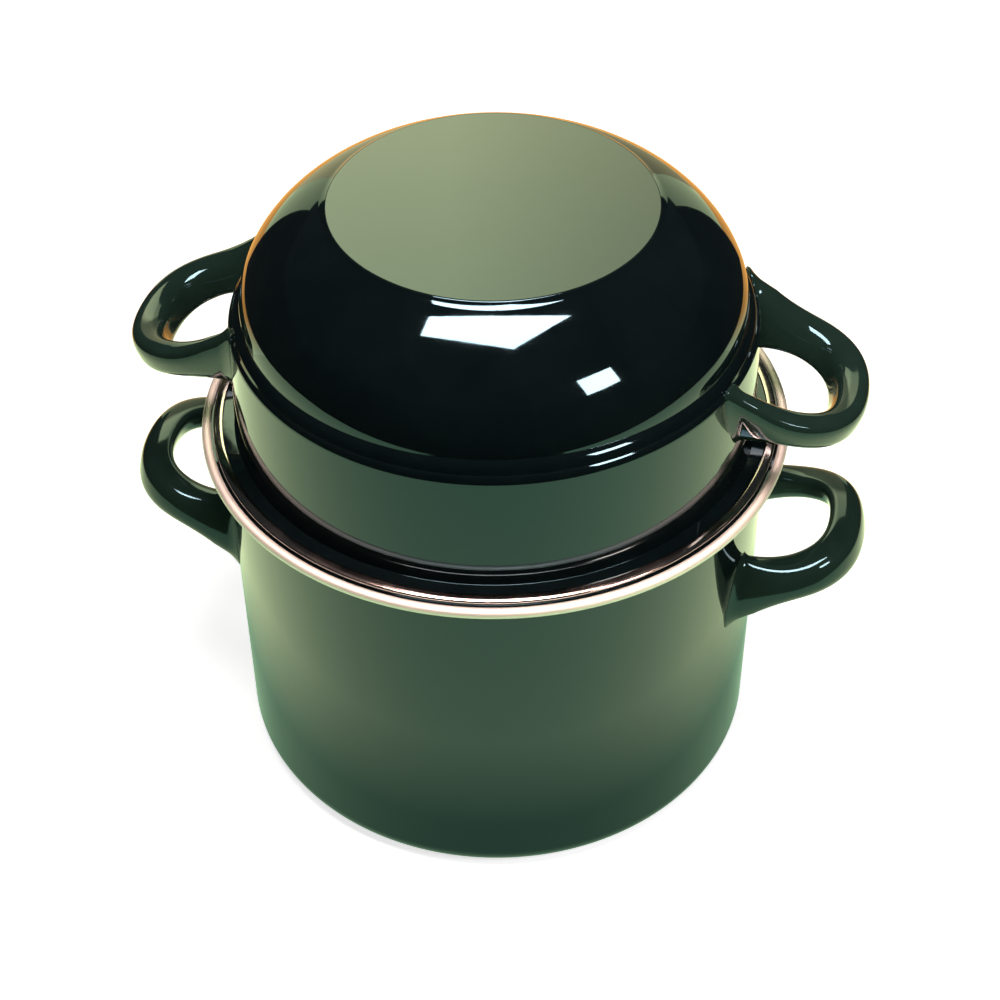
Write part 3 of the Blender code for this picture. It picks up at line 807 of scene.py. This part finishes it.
def floor_material(stage):
    """A pale floor. Where it is seen, mirrored or looked at through glass, a glow is added, which keeps the shadow.
    Close to the pot, the colour that the camera does not see directly is darkened by a painted shade.
    """
    made, tree, shader = empty_material("Floor")
    feed(tree, shader.inputs["Roughness"], 0.9)
    feed(tree, shader.inputs["Specular IOR Level"], 0.0)
    path = tree.nodes.new("ShaderNodeLightPath").outputs
    away = add_node(tree, "ShaderNodeVectorMath", {"operation": "LENGTH"}, Vector=object_place(tree)).outputs["Value"]
    # Painted shade: between these distances from the axis, the mirrored colour, which also lights by bounce, goes from
    # the painted shade near the pot to the open mirrored colour.
    shaded_to, open_from = 0.145, 0.195
    past_painted_shade = remap(tree, away, shaded_to, open_from, 0.0, 1.0)
    mirrored = blended(tree, past_painted_shade, stage.floor_mirrored_painted_shade, stage.floor_mirrored)
    for seen_colour, socket in ((stage.floor_colour, "Base Color"), ((1.0, 1.0, 1.0), "Emission Color")):
        feed(tree, shader.inputs[socket], blended(tree, path["Is Camera Ray"], mirrored, seen_colour))
    gloss = maths(tree, "MAXIMUM", path["Is Glossy Ray"], path["Is Transmission Ray"])
    feed(tree, shader.inputs["Emission Strength"],
         total(tree, (path["Is Camera Ray"], stage.floor_glow), (gloss, stage.mirror_glow)))
    return made


def glow_material(name, tint, strength):
    """A lamp's face or a dark flag: plain emission."""
    made = bpy.data.materials.new(name)
    made.use_nodes = True
    tree = made.node_tree
    tree.nodes.clear()
    glow = add_node(tree, "ShaderNodeEmission", Color=tint, Strength=strength)
    add_node(tree, "ShaderNodeOutputMaterial", Surface=glow.outputs[0])
    return made


def seen_group():
    """Object coordinates turned back to the camera's own axes."""
    name = "Place as seen"
    if name in bpy.data.node_groups:
        return bpy.data.node_groups[name]
    group, given, results = new_group(name, (), {"Turn": 0.0}, dict.fromkeys("XYZ", "Float"))
    turned = add_node(group, "ShaderNodeVectorRotate", {"rotation_type": "Z_AXIS"}, Vector=object_place(group),
                      Angle=given["Turn"])
    place = add_node(group, "ShaderNodeSeparateXYZ", Vector=turned.outputs[0])
    for axis in "XYZ":
        feed(group, results[axis], place.outputs[axis])
    return group


def place_as_seen(tree, stage):
    """The places X, Y and Z on a stage card, as the camera sees them."""
    return add_node(tree, "ShaderNodeGroup", {"node_tree": seen_group()}, Turn=-stage.turn).outputs


def back_face_material(stage):
    """The rear lamp's face: dim near the table, full above, and falling off from its middle to its right."""
    made = glow_material("Back face", stage.back_tint, stage.back_mirror)
    tree = made.node_tree
    place = place_as_seen(tree, stage)
    low_top, full_height = 0.74, 0.84
    fall_start, fall_end = -0.045, 0.17
    level = remap(tree, place["Z"], low_top, full_height, stage.back_low, stage.back_mirror)
    side = remap(tree, place["X"], fall_start, fall_end, 1.0, stage.back_side)
    feed(tree, tree.nodes["Emission"].inputs["Strength"], maths(tree, "MULTIPLY", level, side))
    return made


def table_material(stage):
    """The table behind as the gloss shows it: the floor's mirrored colour at the front, and wood farther back."""
    made = glow_material("Table behind", stage.floor_mirrored, stage.table_glow)
    tree = made.node_tree
    glow = tree.nodes["Emission"].inputs
    wood_start, wood_full = 0.21, 0.38
    near_glow = 1.9
    wood = remap(tree, place_as_seen(tree, stage)["Y"], wood_start, wood_full, 0.0, 1.0)
    feed(tree, glow["Color"], blended(tree, wood, stage.floor_mirrored, stage.table))
    feed(tree, glow["Strength"], remap(tree, wood, 0.0, 1.0, near_glow, stage.table_glow))
    return made


# Stage


def studio_turn(stage):
    """The turn from the camera's own axes to the object's."""
    return Matrix.Rotation(stage.turn, 4, "Z")


def add_card(name, points, material, stage, faces=((0, 1, 2, 3),)):
    """A card that only shows in the gloss, its points as the camera sees them."""
    turn = np.array(studio_turn(stage).to_3x3())
    mesh = bpy.data.meshes.new(name)
    mesh.from_pydata((np.asarray(points) @ turn.T).tolist(), [], faces)
    mesh.materials.append(material)
    made = add_object(name, mesh)
    for rays in ("camera", "diffuse", "shadow", "transmission"):
        setattr(made, "visible_" + rays, False)


def add_lamp(name, place, aim, size, power, tint, stage):
    """An area lamp that lights the object evenly, while its face in the gloss is the card at its place."""
    lamp = bpy.data.lights.new(name, "AREA")
    lamp.shape = "RECTANGLE"
    lamp.size, lamp.size_y = size
    lamp.energy = power
    lamp.color = tint
    made = add_object(name, lamp)
    turn = studio_turn(stage)
    place = turn @ Vector(place)
    backwards = place - turn @ Vector(aim)
    made.matrix_world = Matrix.Translation(place) @ backwards.to_track_quat("Z", "Y").to_matrix().to_4x4()
    made.visible_camera = False
    made.visible_glossy = False


def add_backdrop(stage):
    """A floor that sweeps up into a low round wall: its outline carried round Z."""
    reach, bend, wall_height, steps = 7.0, 1.0, 2.2, 96
    outline = joined(straight((0.0, 0.0), (reach, 0.0), 0.5, 0.5), arc((reach, bend), bend, -math.pi / 2, 0.0),
                     straight((reach + bend, bend), (reach + bend, wall_height), 0.1, 0.5))
    grid = turned_grid(outline[1:], steps)
    index = np.arange(len(grid) * steps).reshape(len(grid), steps)
    quads = cells(np.pad(index, ((0, 0), (0, 1)), mode="wrap"))[:, [0, 3, 2, 1]]
    centre = np.column_stack((np.full(steps, index.size), index[0], np.roll(index[0], -1)))
    mesh = bpy.data.meshes.new("floor")
    mesh.from_pydata(np.vstack((grid.reshape(-1, 3), (0.0, 0.0, 0.0))).tolist(), [], quads.tolist() + centre.tolist())
    mesh.shade_smooth()
    mesh.materials.append(floor_material(stage))
    add_object("floor", mesh)


def add_flag(stage):
    """A dark ring round the front and sides that only shows in the gloss: the unlit room beyond the table.

    Its points are (side sin a, back or front cos a, height), with a measured from the back, and its top rises
    towards the sides by |sin a|, to hide the backdrop's edge.
    """
    opening = math.radians(30.0)
    side, back, front = 0.80, 0.62, 0.46
    bottom, top, rise = 0.0005, 0.42, 0.06
    angles = np.linspace(opening, 2 * math.pi - opening, 76)
    ring = np.column_stack((side * np.sin(angles), np.where(np.cos(angles) > 0, back, front) * np.cos(angles)))
    low = np.column_stack((ring, np.full(len(ring), bottom)))
    high = np.column_stack((ring, top + rise * np.abs(np.sin(angles))))
    quads = cells(np.arange(2 * len(ring)).reshape(2, -1))
    nearly_dark = glow_material("Dark flag", (0.8, 0.9, 1.0), 0.02)
    add_card("dark_flag", np.vstack((low, high)), nearly_dark, stage, quads.tolist())


def add_lamps(stage):
    """Three lamps, overhead, at the right front and behind, each with its face as a card in the gloss.

    The front lamp's face is placed by the ways in which its four corners are mirrored by one spot of the dome.
    """
    key_face = ((-0.320, -0.067, 1.2), (-0.424, -0.261, 1.2), (0.115, -0.433, 1.2), (0.391, -0.074, 1.2))
    add_card("key_face", key_face, glow_material("Key face", stage.key_tint, stage.key_mirror), stage)
    add_lamp("key_lamp", (-0.05, -0.20, 1.2), (0.0, 0.0, 0.15), (0.65, 0.35), stage.key_power, (1.0, 1.0, 0.98),
             stage)
    dome_spot, distance = np.array((0.040, -0.090, 0.262)), 0.60
    ways = np.array(((0.685, -0.406, 0.605), (0.768, -0.482, 0.421), (0.583, -0.696, 0.420), (0.495, -0.606, 0.623)))
    front_face = dome_spot + distance * ways
    add_card("front_face", front_face, glow_material("Front face", stage.front_tint, stage.front_mirror), stage)
    add_lamp("front_lamp", front_face.mean(axis=0), (0.0, 0.0, 0.12), (0.20, 0.13), stage.front_power,
             (1.0, 1.0, 1.0), stage)
    table = ((-0.9, 0.20, 0.0006), (0.9, 0.20, 0.0006), (0.9, 0.99, 0.0006), (-0.9, 0.99, 0.0006))
    add_card("table_behind", table, table_material(stage), stage)
    back_face = ((-0.45, 1.0, 0.002), (0.45, 1.0, 0.002), (0.45, 1.0, 1.16), (-0.45, 1.0, 1.16))
    add_card("back_face", back_face, back_face_material(stage), stage)
    add_lamp("back_lamp", (0.0, 1.0, 0.60), (0.0, 0.0, 0.15), (0.90, 1.10), stage.back_power, (1.0, 0.97, 0.88),
             stage)


def add_world(stage):
    """A dim, even room."""
    world = bpy.data.worlds.new("Dim room")
    world.use_nodes = True
    background = world.node_tree.nodes["Background"]
    feed(world.node_tree, background.inputs["Color"], (0.85, 0.95, 1.0))
    feed(world.node_tree, background.inputs["Strength"], stage.world)
    bpy.context.scene.world = world


def add_camera(stage):
    """The camera: back and up from its aim by its pitch, with a small yaw that puts the pot's axis in its place."""
    sensor_width = 36.0
    image_width = 1000.0
    camera = add_object("camera", bpy.data.cameras.new("camera"))
    camera.data.lens = stage.lens
    camera.data.sensor_width = sensor_width
    camera.data.clip_start = 0.01
    camera.data.clip_end = 60.0
    pitch = stage.camera_pitch
    distance = stage.camera_distance
    place = Vector((0.0, -distance * math.cos(pitch), stage.aim_height + distance * math.sin(pitch)))
    yaw = math.atan((stage.aim_pixel - image_width / 2) / (stage.lens / sensor_width * image_width))
    tilt = Matrix.Rotation(math.pi / 2 - pitch, 3, "X")
    facing = tilt @ Matrix.Rotation(yaw, 3, "Y") @ Matrix.Rotation(stage.camera_roll, 3, "Z")
    camera.matrix_world = studio_turn(stage) @ Matrix.Translation(place) @ facing.to_4x4()
    bpy.context.scene.camera = camera
    bpy.context.scene.view_settings.view_transform = "Standard"


# Operators


def add_shell(context, body, node, outline, rub):
    """Turn an enamelled shell. Its section's two ends lie on the axis, where the caps stand for them."""
    steps = context.scene.mussel_pot_fineness.turn_steps
    values = {"edge": spread(sharpness(outline)[1:-1], steps), "rub": spread(rub[1:-1], steps)}
    mesh = grid_mesh(node + "_enamel", turned_grid(outline[1:-1], steps), True, values)
    add_piece(mesh, shell_enamel(context.scene.mussel_pot_finishes), body, node)


class MUSSELPOT_OT_pot_shell(bpy.types.Operator):
    """Turn the pot's enamelled shell, rubbed where it stands on its ring"""

    bl_idname = "mussel_pot.pot_shell"
    bl_label = "Pot shell"

    def execute(self, context):
        sizes = context.scene.mussel_pot_body
        outline = pot_outline(sizes, context.scene.mussel_pot_trims)
        touching = 0.0004
        ring_inner = sizes.wall_radius - sizes.corner_radius - sizes.ring_width
        ring = (outline[:, 1] < touching) & (outline[:, 0] > ring_inner)
        add_shell(context, "pot", "pot_body", outline, ring * 1.0)
        return {"FINISHED"}


class MUSSELPOT_OT_lid_shell(bpy.types.Operator):
    """Turn the lid's enamelled shell, a little rubbed towards the edge of its disc"""

    bl_idname = "mussel_pot.lid_shell"
    bl_label = "Lid shell"

    def execute(self, context):
        sizes = context.scene.mussel_pot_lid
        outline = lid_outline(sizes, context.scene.mussel_pot_trims)
        touching = 0.0001
        edge_rub = 0.10
        disc = outline[:, 1] > sizes.height + sizes.disc_height - touching
        share = np.clip(outline[:, 0] / sizes.disc_radius, 0.0, 1.0)
        add_shell(context, "lid", "lid_bowl", outline, np.where(disc, edge_rub * share**3, 0.0))
        return {"FINISHED"}


def add_trim(context, body, section, finish):
    """Turn a trim's section, with a place round Z and along the section for its scratches."""
    grid = turned_grid(section, context.scene.mussel_pot_fineness.turn_steps)
    around = grid.copy()
    around[..., 2] = along_path(section)[:, None]
    mesh = grid_mesh(body + "_rim_trim", grid, False, {"around": around})
    add_piece(mesh, finish, body, body + "_rim_band")


class MUSSELPOT_OT_trims(bpy.types.Operator):
    """Roll the steel trims over the pot's lip and the lid's flange"""

    bl_idname = "mussel_pot.trims"
    bl_label = "Steel trims"

    def execute(self, context):
        pot = context.scene.mussel_pot_body
        lid = context.scene.mussel_pot_lid
        trims = context.scene.mussel_pot_trims
        finishes = context.scene.mussel_pot_finishes
        centre = (pot.rim_radius - trims.pot_radius, pot.height - pot.thickness / 2)
        section = trim_section(centre, 0.0, trims.pot_radius, 0.0, trims.pot_sheet, pot.thickness, trims.gap,
                               trims.pot_squareness)
        add_trim(context, "pot", section, satin_steel(finishes))
        centre = (lid.edge_radius, lid.height) + trims.lid_outset * heading(-lid.flange_slope)
        section = trim_section(centre, -trims.lid_tilt, trims.lid_radius, trims.lid_flatness, trims.lid_sheet,
                               lid.thickness, trims.gap, trims.lid_squareness)
        add_trim(context, "lid", section, polished_steel(finishes))
        return {"FINISHED"}


def add_handles(context, body, wall, base_height, flip):
    """Both loops of a shell: one grid, and the same turned half round Z."""
    sizes = context.scene.mussel_pot_handles
    grid, edge = loop_grid(sizes, context.scene.mussel_pot_fineness, wall, base_height, flip)
    finish = handle_enamel(context.scene.mussel_pot_finishes)
    for side, turn in (("right", 1.0), ("left", -1.0)):
        node = body + "_handle_" + side
        mesh = grid_mesh(node + "_loop", grid * (turn, turn, 1.0), True, {"edge": edge, "rub": edge * 0.0})
        add_piece(mesh, finish, body, node)


class MUSSELPOT_OT_pot_handles(bpy.types.Operator):
    """Loft the pot's two loop handles"""

    bl_idname = "mussel_pot.pot_handles"
    bl_label = "Pot handles"

    def execute(self, context):
        radius = context.scene.mussel_pot_body.wall_radius
        height = context.scene.mussel_pot_handles.pot_height
        add_handles(context, "pot", lambda level: radius, height, 1.0)
        return {"FINISHED"}


class MUSSELPOT_OT_lid_handles(bpy.types.Operator):
    """Loft the lid's two loop handles, the pot's pattern upside down"""

    bl_idname = "mussel_pot.lid_handles"
    bl_label = "Lid handles"

    def execute(self, context):
        lid = context.scene.mussel_pot_lid
        height = lid.height + context.scene.mussel_pot_handles.lid_height
        add_handles(context, "lid", lambda level: lid_wall(lid, level - lid.height), height, -1.0)
        return {"FINISHED"}


class MUSSELPOT_OT_stage(bpy.types.Operator):
    """Set up the floor, the lamps, the dim room and the camera"""

    bl_idname = "mussel_pot.stage"
    bl_label = "Stage"

    def execute(self, context):
        stage = context.scene.mussel_pot_stage
        add_backdrop(stage)
        add_flag(stage)
        add_lamps(stage)
        add_world(stage)
        add_camera(stage)
        return {"FINISHED"}


class MUSSELPOT_PT_panel(bpy.types.Panel):
    """The pieces and the stage, with their sizes and finishes"""

    bl_idname = "MUSSELPOT_PT_panel"
    bl_label = "Mussel pot"
    bl_space_type = "VIEW_3D"
    bl_region_type = "UI"
    bl_category = "Mussel pot"

    def draw(self, context):
        for operator in operators:
            self.layout.operator(operator.bl_idname)
        for label, kind in groups:
            settings = getattr(context.scene, label)
            box = self.layout.box()
            box.label(text=kind.__doc__)
            for name in kind.__annotations__:
                box.prop(settings, name)


groups = (
    ("mussel_pot_body", PotSizes),
    ("mussel_pot_lid", LidSizes),
    ("mussel_pot_trims", TrimSizes),
    ("mussel_pot_handles", HandleSizes),
    ("mussel_pot_fineness", Fineness),
    ("mussel_pot_finishes", Finishes),
    ("mussel_pot_stage", StageSettings),
)
operators = (
    MUSSELPOT_OT_pot_shell,
    MUSSELPOT_OT_lid_shell,
    MUSSELPOT_OT_trims,
    MUSSELPOT_OT_pot_handles,
    MUSSELPOT_OT_lid_handles,
    MUSSELPOT_OT_stage,
)


def register():
    """Register the classes and hang the settings on the scene."""
    for label, kind in groups:
        bpy.utils.register_class(kind)
        setattr(bpy.types.Scene, label, PointerProperty(type=kind))
    for kind in (*operators, MUSSELPOT_PT_panel):
        bpy.utils.register_class(kind)


def unregister():
    """Take all of that away again."""
    for kind in (MUSSELPOT_PT_panel, *reversed(operators)):
        bpy.utils.unregister_class(kind)
    for label, kind in reversed(groups):
        delattr(bpy.types.Scene, label)
        bpy.utils.unregister_class(kind)


def main():
    """Build every piece and the stage."""
    register()
    bpy.ops.mussel_pot.pot_shell()
    bpy.ops.mussel_pot.lid_shell()
    bpy.ops.mussel_pot.trims()
    bpy.ops.mussel_pot.pot_handles()
    bpy.ops.mussel_pot.lid_handles()
    bpy.ops.mussel_pot.stage()


if __name__ == "__main__":
    main()
